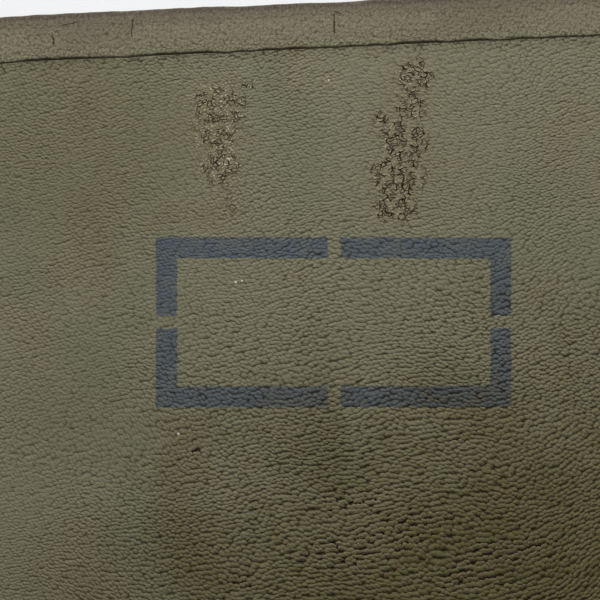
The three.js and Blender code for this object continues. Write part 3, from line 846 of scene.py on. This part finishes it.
# the zone along the inner edge where the painted highlight on the beads is strongest
inner_edge_highlight = frayed.rise(0.1, 1.0) * (1 - frayed.rise(2.0, 3.4))
cut_edge = 1 - (across + place.cloud(1.3, 2.0) * 1.2 - 0.6).rise(-0.3, 0.5)
far_edge = across.rise(GLUE_FROM - 0.2, GLUE_FROM + 0.2)
brown_run = (place.spots(BROWN_RUNS) + place.cloud(10, 3.0) * 1.6 - 0.8).rise(0.0, 0.7)
# painted highlight on the tops of the beads
bead_top_highlight = (1 - bead.rise(0.12, 0.4)) * (0.15 + inner_edge_highlight * 0.35 + patchy * 0.15)
# painted shade and dirt in the hollows between the beads
bead_hollow_shade_and_dirt = bead.rise(0.4, 0.75) * (0.1 + patchy * 0.25) + blobs.rise(0.5, 0.3) * 0.3
scuff = place.cloud(24, 4.0).rise(0.55, 0.68) * frayed.rise(12, 18) * blobs.rise(0.35, 0.6)
print(len(SPLITS), "splits and", len(BROWN_RUNS), "brown runs in the binding")

# %% The binding's colour, gloss and height
BAND_OLIVE = srgb(136, 131, 109)
BAND_PALE = srgb(152, 147, 122)
BAND_BROWN = srgb(127, 114, 97)
BAND_GREEN = srgb(118, 118, 92)
BEAD_HIGHLIGHT_PALE = srgb(172, 164, 134)
BEAD_SHADE_AND_DIRT = srgb(80, 70, 50)
FOLD_SHADE_AND_DIRT = srgb(102, 90, 72)
SCUFF_PALE = srgb(146, 134, 108)
SPLIT_DARK = srgb(50, 40, 24)
GLUE_DARK = srgb(62, 52, 30)
band_colour = streaks.rise(0.35, 0.7).between(BAND_OLIVE, BAND_PALE)
band_colour = band_colour.tint(green_foot * 0.4, BAND_GREEN)
band_colour = band_colour.tint((brown_run * 0.6).most(brown_head * 0.85), BAND_BROWN)
# painted highlight on the bead tops, then painted shade and dirt in their hollows
band_colour = band_colour.tint(bead_top_highlight, BEAD_HIGHLIGHT_PALE)
band_colour = band_colour.tint(bead_hollow_shade_and_dirt, BEAD_SHADE_AND_DIRT)
# painted shade and rubbed dirt towards the fold
band_colour = band_colour.tint(fold, FOLD_SHADE_AND_DIRT, "MULTIPLY")
band_colour = band_colour.tint(scuff * 0.45, SCUFF_PALE)
band_colour = band_colour.tint(split * 0.85, SPLIT_DARK)
band_colour = band_colour.tint((cut_edge * 0.45).most(far_edge * 0.85), GLUE_DARK)
band_height = streaks * 0.12 + blobs * 0.14 + place.cloud(0.5, 2.0) * 0.08 - bead ** 2 * 0.16 - split * 0.3
finish_of("edge binding", band_colour, 0.55 + streaks * 0.2, band_height, Specular_IOR_Level=0.16)

# %% [markdown]
# ## The bound edges: shape
# In section the strip is a thin bent plate whose two edges are pared down, so they lie close to the hide. It
# was cut and folded by hand, so its inner edge and its fold wander a little, and near the photo's column 240
# the edge is puckered. A curve with a bevel profile could carry the section, but it has no UV map in
# millimetres, so the section is carried round the outline as one hoop of rings.

# %% Build the bindings
STRIP_LIFT = 0.08
STRIP_THICK = PROUD - STRIP_LIFT
PARED = 0.62  # share of the thickness left at a cut edge
PARED_RUN = 5.0  # how far in from the edge the paring reaches
ARC_STEPS = 8
BAND_SHIFT = 2500.0  # the base's strip lies this far along the map
PUCKER_AT = on_lid(241, 55)[0]
PUCKER_REACH = 9.0
edge_wander = np.array([
    0.55 * noise.noise((at / 19, 3.1, 0)) + 0.5 * noise.noise((at / 5, 7.7, 0))
    + 0.55 * math.exp(-((at - PUCKER_AT) / PUCKER_REACH) ** 2) * noise.noise((at / 2.6, 1.4, 0))
    for at in along[:-1]
])
fold_wander = np.array([
    0.5 * noise.noise((at / 15, 5.2, 0)) + 0.25 * noise.noise((at / 5, 9.4, 0)) for at in along[:-1]
])


def strip_zone(ring, row):
    return np.stack([along + row["shift"], np.full(len(along), STRIP_START + row["across"])], axis=1)


def strip_rows(rim, face, shift):
    """The rings of one binding: over the top from the inner edge to the wall edge, and back underneath."""
    up = 1 if face > rim else -1
    depth = abs(face - rim)
    flat_run = BINDING_WIDTH - PROUD - EDGE
    wall_run = BINDING_SIDE - PROUD - EDGE
    bend = EDGE + PROUD
    arc_run = bend * math.pi / 2
    strip_run = flat_run + arc_run + wall_run
    wall_foot = depth + PROUD - BINDING_SIDE
    rows = []

    def ring(inset, height, across, wander=0.0, fold=0.0):
        flat = outline(0)
        normal = flat - outline(1)
        moved = flat - normal * (inset + wander * edge_wander + fold * fold_wander)[:, None]
        z = np.full(len(flat), rim + up * height)
        rows.append({"ring": np.column_stack([moved, z]), "zone": strip_zone, "finish": 0,
                     "across": across, "shift": shift})

    def thickness(from_edge):
        share = min(1.0, from_edge / PARED_RUN)
        return STRIP_THICK * (PARED + (1 - PARED) * share * share * (3 - 2 * share))

    cut_steps = ((0.0, 0.0, -0.8), (0.02, 0.55, -0.4), (0.22, 0.88, -0.1))  # back, share of thickness, across
    for back, share, across in (*cut_steps, (0.6, 1.0, 0.4), (1.4, 1.0, 1.2)):
        ring(SEAM_INSET - back, depth + STRIP_LIFT + share * thickness(back), across, 1.0)
    for back in (2.6, 4.2, 6.4, 8.6):
        ring(SEAM_INSET - back, depth + STRIP_LIFT + thickness(back), back, max(0.0, 1 - back / PARED_RUN))
    for step, (sine, cosine) in enumerate(quarter_turn(ARC_STEPS + 1)):
        across = flat_run + arc_run * step / ARC_STEPS
        ring(EDGE - bend * sine, depth - EDGE + bend * cosine, across, fold=sine)
    for back in (wall_run - 3, 2.6, 1.4, 0.6):
        ring(-STRIP_LIFT - thickness(back), wall_foot + back, strip_run - back)
    for back, share, across in reversed(cut_steps):
        ring(-STRIP_LIFT - share * thickness(back), wall_foot + back, strip_run - across)
    for sine, cosine in reversed(quarter_turn(5)):
        ring(EDGE - (EDGE + STRIP_LIFT) * sine, depth - EDGE + (EDGE + STRIP_LIFT) * cosine, -1.0)
    return rows


lid_band = skin("lid_band", strip_rows(LID_RIM, LID_FACE, 0.0), [binding], hoop=True)
base_band = skin("base_band", strip_rows(BASE_RIM, BASE_FACE, BAND_SHIFT), [binding], hoop=True)
dress(lid_band, "lid", "binding", "lid_binding")
dress(base_band, "base", "binding", "base_binding")

# %% [markdown]
# ## Steel for the fittings
# The fittings are pressed and turned steel that has gone dark with age: dull grey-brown, rubbed brighter in
# streaks, with a little rust. They are small and turn every way, so this finish is worked out from the place
# in space, in millimetres, instead of a flat map.

# %% Aged steel
STEEL_GREY = srgb(132, 128, 118)
STEEL_BROWN = srgb(84, 79, 70)
STEEL_BRIGHT = srgb(176, 172, 162)
RUST = srgb(98, 66, 42)
steel = bpy.data.materials.new("aged_steel")
steel.use_nodes = True
in_metres = Pattern(steel.node_tree).node("TexCoord", out="Object")
in_space = in_metres.moved("MULTIPLY", (1 / MM, 1 / MM, 1 / MM))
tarnish = in_space.cloud(9, 4.0, space="3D")
rust = in_space.cloud(3.5, 4.0, space="3D").rise(0.58, 0.7)
rubs = in_space.moved("MULTIPLY", (0.15, 1, 1)).cloud(0.8, 2.0, space="3D")
steel_colour = tarnish.rise(0.35, 0.65).between(STEEL_GREY, STEEL_BROWN)
steel_colour = steel_colour.tint(rubs.rise(0.55, 0.7) * 0.4, STEEL_BRIGHT)
steel_colour = steel_colour.tint(rust * 0.8, RUST)
steel_rough = 0.36 + tarnish * 0.16 + rust * 0.35 - rubs * 0.1
finish_of("aged steel", steel_colour, steel_rough, tarnish * 0.05 + rust * 0.08, 1 - rust * 0.85)

# %% [markdown]
# ## Making small hard pieces
# A fitting is gathered from simple shapes: prisms with eased edges, turned pieces and bent rods. Each is made
# in its own bmesh, so that its edges can be bevelled before it joins the rest. A boolean would weld them, but
# touching shapes look the same here and keep clean edges.

# %% Prisms, turned pieces and rods
ROUND = 24
EASED_ANGLE = math.radians(32)  # edges sharper than this are eased
SMOOTH_ANGLE = math.radians(38)  # and those flatter than this are shaded smooth


def prism(profile, low, high, to_space, ease=0.4):
    """A flat profile of (a, b) points carried from low to high, with its sharp edges eased."""
    made = bmesh.new()
    ends = [[made.verts.new(to_space(a, b, c)) for a, b in profile] for c in (low, high)]
    count = len(profile)
    made.faces.new(ends[0])
    made.faces.new(ends[1])
    for k in range(count):
        made.faces.new((ends[0][k], ends[0][(k + 1) % count], ends[1][(k + 1) % count], ends[1][k]))
    bmesh.ops.recalc_face_normals(made, faces=made.faces)
    sharp = [edge for edge in made.edges if edge.calc_face_angle(0) > EASED_ANGLE]
    bmesh.ops.bevel(
        made, geom=sharp, offset=ease, segments=2, profile=0.6, affect="EDGES", clamp_overlap=True,
    )
    return made


def turned(profile, to_space):
    """A profile of (radius, along) points turned about its axis. A radius of 0 closes the end."""
    made = bmesh.new()
    rings = []
    for radius, reach in profile:
        angles = np.linspace(0, 2 * math.pi, ROUND, endpoint=False) if radius else [0]
        ring = [to_space(radius * math.cos(a), radius * math.sin(a), reach) for a in angles]
        rings.append([made.verts.new(point) for point in ring])
    for here, there in zip(rings, rings[1:]):
        for k in range(ROUND):
            n = k + 1
            quad = [here[k % len(here)], here[n % len(here)], there[n % len(there)], there[k % len(there)]]
            made.faces.new(dict.fromkeys(quad))
    return made


def rod(points, radius, sides=14):
    """A round rod along a line in the plane of X and Z, with eased ends."""
    points = np.array(points, float)
    ways = np.gradient(points, axis=0)
    ways /= np.linalg.norm(ways, axis=1)[:, None]
    out = np.array([0.0, 1.0, 0.0])
    ease = 0.3 * radius
    tip = 0.72  # share of the radius at an eased end
    stations = [
        (points[0] - ways[0] * ease, ways[0], tip),
        *[(point, way, 1.0) for point, way in zip(points, ways)],
        (points[-1] + ways[-1] * ease, ways[-1], tip),
    ]
    made = bmesh.new()
    rings = []
    for point, way, share in stations:
        side = np.cross(way, out)
        rings.append([
            made.verts.new(point + radius * share * (out * math.cos(a) + side * math.sin(a)))
            for a in np.linspace(0, 2 * math.pi, sides, endpoint=False)
        ])
    for here, there in zip(rings, rings[1:]):
        for k in range(sides):
            made.faces.new((here[k], here[(k + 1) % sides], there[(k + 1) % sides], there[k]))
    made.faces.new(rings[0])
    made.faces.new(rings[-1])
    return made


def gather(name, shapes, finish, body, slot, *nodes):
    """One piece from several shapes in millimetres, shaded smooth across all but its sharp edges."""
    whole = bmesh.new()
    passing = bpy.data.meshes.new(name)
    for shape in shapes:
        bmesh.ops.recalc_face_normals(shape, faces=shape.faces)
        shape.to_mesh(passing)
        shape.free()
        whole.from_mesh(passing)
    bmesh.ops.scale(whole, vec=(MM, MM, MM), verts=whole.verts)
    for edge in whole.edges:
        edge.smooth = edge.calc_face_angle(0) < SMOOTH_ANGLE
    for face in whole.faces:
        face.smooth = True
    whole.to_mesh(passing)
    whole.free()
    passing.materials.append(finish)
    piece = bpy.data.objects.new(name, passing)
    scene.collection.objects.link(piece)
    dress(piece, body, slot, *nodes)
    print(name, len(passing.polygons), "faces")


def round_plate(width, low, high, corner):
    """The outline of a plate with round corners: (across, up) points."""
    half = width / 2 - corner
    middles = [(half, high - corner), (-half, high - corner), (-half, low + corner), (half, low + corner)]
    turns = [[math.radians(90 * k + 18 * step) for step in range(6)] for k in range(4)]
    return [
        (x + corner * math.cos(a), z + corner * math.sin(a))
        for (x, z), quarter in zip(middles, turns) for a in quarter
    ]


def rivet(x, z, wall, out, radius=2.1, height=1.1):
    """A domed rivet head on an upright surface at y = wall, looking along out (-1 for the front)."""
    sunk_in = 0.4
    dome = [(radius * math.cos(a), height * math.sin(a)) for a in np.linspace(0, math.pi / 2, 5)[:-1]]
    profile = [(0, -sunk_in), (radius, -sunk_in), *dome, (0, height)]
    return turned(profile, lambda a, b, c: (x + a, wall + out * c, z + b))


# %% [markdown]
# ## Handle brackets
# The photo stops short of them, so they are plain: a riveted plate with a bored lug for each end of the
# handle. They could be modelled once and mirrored, but a loop over the CAD nodes puts each in its own box.

# %% Build the brackets
PLATE_GAP = 0.3
PLATE_CORNER = 4.0
BRACKET_THICK = 1.6
BRACKET_RIVETS = (8.0, 12.5)  # how far they stand from the pivot, across and up
front = FRONT_WALL - PLATE_GAP
bail_low, bail_high = box_mm("handle_bail")
BAIL_RADIUS = 2.5
PIVOT_Y = (bail_low.y + bail_high.y) / 2
PIVOT_Z = bail_high.z - BAIL_RADIUS
LUG_RADIUS, LUG_BORE, LUG_HALF = 5.5, 2.95, 3.5
LUG_EASE, LUG_RIM = 0.4, 0.5
NECK_FLARE = 1.2
NECK_SUNK = 0.3  # how far the neck runs into the plate
for side in ("left", "right"):
    low, high = box_mm(f"handle_bracket_{side}")
    middle = (low.x + high.x) / 2
    wall_profile = round_plate(high.x - low.x, low.z, high.z, PLATE_CORNER)
    plate_out = front - BRACKET_THICK
    neck_near, neck_far = PIVOT_Y + LUG_BORE + LUG_EASE, plate_out + NECK_SUNK
    neck = [
        (neck_near, PIVOT_Z - LUG_RADIUS), (neck_far, PIVOT_Z - LUG_RADIUS - NECK_FLARE),
        (neck_far, PIVOT_Z + LUG_RADIUS + NECK_FLARE), (neck_near, PIVOT_Z + LUG_RADIUS),
    ]
    eye = [
        (LUG_BORE, -LUG_HALF + LUG_EASE), (LUG_BORE + LUG_EASE, -LUG_HALF),
        (LUG_RADIUS - LUG_RIM, -LUG_HALF), (LUG_RADIUS, -LUG_HALF + LUG_RIM),
    ]
    eye = [*eye, *[(radius, -reach) for radius, reach in reversed(eye)], eye[0]]
    shapes = [
        prism(wall_profile, plate_out, front, lambda a, b, c: (middle + a, c, b)),
        prism(neck, -LUG_HALF, LUG_HALF, lambda a, b, c: (middle + c, a, b), 0.6),
        turned(eye, lambda a, b, c: (middle + c, PIVOT_Y + a, PIVOT_Z + b)),
    ]
    for across in (-BRACKET_RIVETS[0], BRACKET_RIVETS[0]):
        for up in (-BRACKET_RIVETS[1], BRACKET_RIVETS[1]):
            shapes.append(rivet(middle + across, PIVOT_Z + up, plate_out, -1))
    gather(f"bracket_{side}", shapes, steel, "base", "steel", f"handle_bracket_{side}")

# %% [markdown]
# ## Clasps
# Each clasp is a pressed lock with its hasp on a riveted plate, also out of the photo and plain. Lock, hasp
# and tongue could be bevelled boxes, but their curved fronts come out better as profiles seen from the side
# and carried across. Pin and button are turned. Profile points are millimetres out from the back of the plate
# and up from the mouth of the case.

# %% Build the clasps
MOUTH = (LID_RIM + BASE_RIM) / 2
CLASP_WIDE, CLASP_THICK = 34.0, 2.0
CLASP_FOOT, CLASP_HEAD = -26.0, -1.5
LOCK = [(0, -22), (5.0, -22), (6.4, -20.6), (7.0, -18.6), (7.0, -8.2), (6.2, -6.4), (4.6, -5.4), (0, -5.4)]
HASP = [(0, -5.0), (4.0, -5.0), (5.0, -3.6), (5.0, 8.4), (4.4, 10.2), (2.0, 10.2), (0, 9.0)]
TONGUE = [(4.6, -1.6), (5.6, -1.0), (5.6, 6.2), (4.6, 6.8)]
LOCK_HALF, HASP_HALF, TONGUE_HALF = 10.2, 8.4, 3.4
PIN = [(0, -8), (1.5, -8), (2.2, -7.2), (2.2, 7.2), (1.5, 8), (0, 8)]
PIN_OUT, PIN_UP = 2.6, 10.6
BUTTON = [(0, 5.5), (3.4, 5.5), (3.4, 7.4), (2.9, 8.0), (0, 8.2)]
BUTTON_UP = -13.4
CLASP_RIVETS_ACROSS, CLASP_RIVETS_UP = (-13.4, 13.4), (-22.2, -5.4)
CLASP_HEAD_SIZE = (1.9, 0.9)  # radius and height of a rivet head
for side in ("left", "right"):
    low, high = box_mm(f"clasp_{side}")
    middle = (low.x + high.x) / 2

    def carried(a, b, c):
        return (middle + c, front - a, MOUTH + b)

    plate = round_plate(CLASP_WIDE, MOUTH + CLASP_FOOT, MOUTH + CLASP_HEAD, PLATE_CORNER)
    shapes = [
        prism(plate, front - CLASP_THICK, front, lambda a, b, c: (middle + a, c, b)),
        prism(LOCK, -LOCK_HALF, LOCK_HALF, carried, 0.8),
        prism(HASP, -HASP_HALF, HASP_HALF, carried, 0.7),
        prism(TONGUE, -TONGUE_HALF, TONGUE_HALF, carried, 0.4),
        turned(PIN, lambda a, b, c: (middle + c, front - PIN_OUT + a, MOUTH + PIN_UP + b)),
        turned(BUTTON, lambda a, b, c: (middle + a, front - c, MOUTH + BUTTON_UP + b)),
    ]
    for across in CLASP_RIVETS_ACROSS:
        for up in CLASP_RIVETS_UP:
            shapes.append(rivet(middle + across, MOUTH + up, front - CLASP_THICK, -1, *CLASP_HEAD_SIZE))
    gather(f"clasp_plate_{side}", shapes, steel, "base", "steel", f"clasp_{side}")

# %% [markdown]
# ## Hinges
# Each hinge is two leaves riveted to the rear walls. The base leaf has the two outer knuckles, the lid leaf
# the middle one. A hinge could be one piece, but then it could not open, so each leaf rides on its own half.

# %% Build the hinges
HINGE_LONG = 44.0
LEAF_NEAR, LEAF_FAR = 2.4, 14.0
LEAF_CORNER, LEAF_THICK = 1.6, 1.0
HINGE_RIVETS = (-16, 0, 16)
HINGE_RIVET_UP = 9
HINGE_HEAD_SIZE = (1.9, 0.45)
KNUCKLE = 1.7
KNUCKLE_EASE = 0.25
KNUCKLE_GAP = 0.15
KNUCKLE_SPLIT = HINGE_LONG / 6
TONGUE_REACH = 3.4  # from the axis to where the leaf has begun
leaf_back = REAR_WALL + PLATE_GAP
leaf_front = leaf_back + LEAF_THICK
OUTER_RUNS = [(-HINGE_LONG / 2, -KNUCKLE_SPLIT - KNUCKLE_GAP), (KNUCKLE_SPLIT + KNUCKLE_GAP, HINGE_LONG / 2)]
MIDDLE_RUN = [(-KNUCKLE_SPLIT + KNUCKLE_GAP, KNUCKLE_SPLIT - KNUCKLE_GAP)]
for side, middle in (("left", -HINGE_X), ("right", HINGE_X)):
    for half, up, runs in (("base", -1, OUTER_RUNS), ("lid", 1, MIDDLE_RUN)):
        levels = sorted((MOUTH + up * LEAF_NEAR, MOUTH + up * LEAF_FAR))
        leaf = round_plate(HINGE_LONG, *levels, LEAF_CORNER)
        shapes = [prism(leaf, leaf_back, leaf_front, lambda a, b, c: (middle + a, c, b), 0.25)]
        for begin, end in runs:
            barrel = [
                (0, begin), (KNUCKLE - KNUCKLE_EASE, begin), (KNUCKLE, begin + KNUCKLE_EASE),
                (KNUCKLE, end - KNUCKLE_EASE), (KNUCKLE - KNUCKLE_EASE, end), (0, end),
            ]
            shapes.append(turned(barrel, lambda a, b, c: (middle + c, REAR_WALL + a, MOUTH + b)))
            leaf_at = MOUTH + up * TONGUE_REACH
            tongue = [(leaf_back, MOUTH), (leaf_front, MOUTH), (leaf_front, leaf_at), (leaf_back, leaf_at)]
            shapes.append(prism(tongue, begin, end, lambda a, b, c: (middle + c, a, b), 0.1))
        rivets_at = MOUTH + up * HINGE_RIVET_UP
        for across in HINGE_RIVETS:
            shapes.append(rivet(middle + across, rivets_at, leaf_front, 1, *HINGE_HEAD_SIZE))
        gather(f"hinge_{half}_{side}", shapes, steel, half, "steel", f"hinge_{half}_leaf_{side}")

# %% [markdown]
# ## The handle
# A steel bail hangs in the brackets and carries a grip of dark, hand-polished hide, wrapped round a firm core
# and sewn along its lower side. The bail is a bent rod. The grip is a swelling tube with a raised seam, drawn
# in at its ends. Its stitches could be a bump, but they stand out from the hide, so each is a small bead of
# thread, in two rows along the seam. The thread is under a millimetre thick and has one colour all over.

# %% Build the bail
BAIL_DROP = 36.0
BAIL_SPAN = 60.0
BEND = 9.0
BAIL_TIP = 0.8  # the eased end takes up the rest
WASHER_IN = 1.0
bail_end = bail_high.x


def bail_line():
    """Points along the bail: one end turned out, an upright, the run through the grip, and the same again."""
    bends = quarter_turn(8)
    upper = [(BAIL_SPAN + BEND * (1 - sine), -BEND * (1 - cosine)) for sine, cosine in bends]
    under = [(BAIL_SPAN - BEND * (1 - cosine), -BAIL_DROP + BEND * (1 - sine)) for sine, cosine in bends]
    half = [(bail_end - BAIL_TIP, 0), *upper, *under, (BAIL_SPAN - 2 * BEND, -BAIL_DROP)]
    line = [*half, *[(-x, z) for x, z in reversed(half)]]
    return [(x, PIVOT_Y, PIVOT_Z + z) for x, z in line]


washer_bore = BAIL_RADIUS - 0.2
washer = [
    (washer_bore, -0.6), (4.2, -0.6), (4.4, -0.3), (4.4, 0.3), (4.2, 0.6), (washer_bore, 0.6),
    (washer_bore, -0.6),
]
bail_shapes = [rod(bail_line(), BAIL_RADIUS)]
for way in (-1, 1):
    washer_x = way * (bail_end - WASHER_IN)
    bail_shapes.append(turned(washer, lambda a, b, c: (washer_x + c, PIVOT_Y + a, PIVOT_Z + b)))
gather("bail", bail_shapes, steel, "handle", "steel", "handle_bail")

# %% The grip's finish
GRIP_BROWN = srgb(72, 62, 44)
GRIP_PALE = srgb(94, 84, 60)
WRINKLE_DARK = srgb(44, 36, 24)
grip_hide, place = new_material("grip_hide")
wrinkles = place.shaken(4, (2, 2)).stretched((1.6, 5.0)).cloud(1.0, 3.0)
pores = place.cells("F1", 1.0)
polish = place.cloud(16, 2.0).rise(0.35, 0.7)
grip_colour = polish.between(GRIP_BROWN, GRIP_PALE)
grip_colour = grip_colour.tint(wrinkles.rise(0.5, 0.3) * 0.5, WRINKLE_DARK)
grip_height = wrinkles * 0.16 - pores ** 2 * 0.05
finish_of("grip", grip_colour, 0.5 - polish * 0.16, grip_height, Specular_IOR_Level=0.5)

THREAD_DRAB = srgb(130, 118, 87)
thread = plain_finish("drab_thread", THREAD_DRAB, 0.8)

# %% Build the grip
GRIP_HALF = 46.0
GRIP_END, GRIP_MIDDLE, GRIP_BORE = 7.5, 10.0, 3.1
GRIP_ROUND = 2.5  # the round at each end
GRIP_TIP = 0.72  # share of the radius that is left there
GRIP_BORE_DEEP = 4.0  # the bore is open this far in
GRIP_INSET, GRIP_STIR = 0.35, 0.12
SEAM_RISE, SEAM_WIDE = 0.9, 0.8
GROOVE_DEEP, GROOVE_AWAY, GROOVE_WIDE = 0.5, 2.3, 0.7  # the stitches lie in a groove on each side of the seam
GRIP_STATIONS = 61
GRIP_SIDES = 48
SEAM_AT = -math.pi / 2
grip_z = PIVOT_Z - BAIL_DROP


def grip_radius(share, angle):
    """The grip's radius at a share of its half length and an angle round it. The sewn seam is underneath."""
    radius = GRIP_END + (GRIP_MIDDLE - GRIP_END) * (1 - share ** 4)
    away = abs(math.remainder(angle - SEAM_AT, 2 * math.pi)) * radius
    seam = SEAM_RISE * math.exp(-(away / SEAM_WIDE) ** 2)
    groove = GROOVE_DEEP * math.exp(-((away - GROOVE_AWAY) / GROOVE_WIDE) ** 2)
    stir = GRIP_STIR * noise.noise((share * 9, math.cos(angle) * 2, math.sin(angle) * 2))
    return radius - GRIP_INSET + seam - groove + stir


straight = GRIP_HALF - GRIP_ROUND
profile = [(x / GRIP_HALF, x, 1.0) for x in np.linspace(-straight, straight, GRIP_STATIONS)]
for way in (-1, 1):
    caps = [
        (way, way * (straight + GRIP_ROUND * sine), GRIP_TIP + (1 - GRIP_TIP) * cosine)
        for sine, cosine in quarter_turn(5)[1:]
    ]
    caps.append((way, way * GRIP_HALF, None))
    caps.append((way, way * (GRIP_HALF - GRIP_BORE_DEEP), None))
    profile = [*reversed(caps), *profile] if way < 0 else [*profile, *caps]
angles = np.linspace(0, 2 * math.pi, GRIP_SIDES, endpoint=False)
grip_points, grip_faces, grip_uvs = [], [], []
for share, x, scale in profile:
    for angle in angles:
        radius = GRIP_BORE if scale is None else grip_radius(share, angle) * scale
        grip_points.append((x, PIVOT_Y + radius * math.cos(angle), grip_z + radius * math.sin(angle)))
starts = grip_points[::GRIP_SIDES]
run = [0, *np.cumsum([math.dist(here, there) for here, there in zip(starts, starts[1:])])]
for r in range(len(profile) - 1):
    here, there = r * GRIP_SIDES, (r + 1) * GRIP_SIDES
    for k in range(GRIP_SIDES):
        n = (k + 1) % GRIP_SIDES
        grip_faces.append((here + k, here + n, there + n, there + k))
        turn_low, turn_high = angles[k] * GRIP_MIDDLE, (angles[k] + angles[1]) * GRIP_MIDDLE
        grip_uvs.extend([(run[r], turn_low), (run[r], turn_high)])
        grip_uvs.extend([(run[r + 1], turn_high), (run[r + 1], turn_low)])
grip = made_piece("grip", grip_points, grip_faces, grip_uvs, [grip_hide], [0] * len(grip_faces))
dress(grip, "handle", "grip", "handle_grip")

# %% Sew the grip
STITCH_REACH = GRIP_HALF - 6  # the rows stop short of both ends
STITCH_PITCH = 4.0
STITCH_LONG = 3.1
STITCH_THICK = 0.45
STITCH_ASIDE = 2.2
STITCH_LIFT = 0.12
STITCH_SLANT = 0.12
stitch_shapes = []
for x in np.arange(-STITCH_REACH, STITCH_REACH + 1, STITCH_PITCH):
    for way in (-1, 1):
        angle = SEAM_AT + way * STITCH_ASIDE / GRIP_MIDDLE
        radius = grip_radius(x / GRIP_HALF, angle) + STITCH_LIFT
        y, z = PIVOT_Y + radius * math.cos(angle), grip_z + radius * math.sin(angle)
        turns = np.linspace(0, math.pi, 7)[1:-1]
        bead = [(STITCH_THICK * math.sin(a), -STITCH_LONG / 2 * math.cos(a)) for a in turns]
        bead = [(0, -STITCH_LONG / 2), *bead, (0, STITCH_LONG / 2)]
        slant = STITCH_SLANT * way
        stitch_shapes.append(turned(bead, lambda a, b, c: (x + c, y + a, z + b + slant * c)))
gather("grip_stitches", stitch_shapes, thread, "handle", "grip")
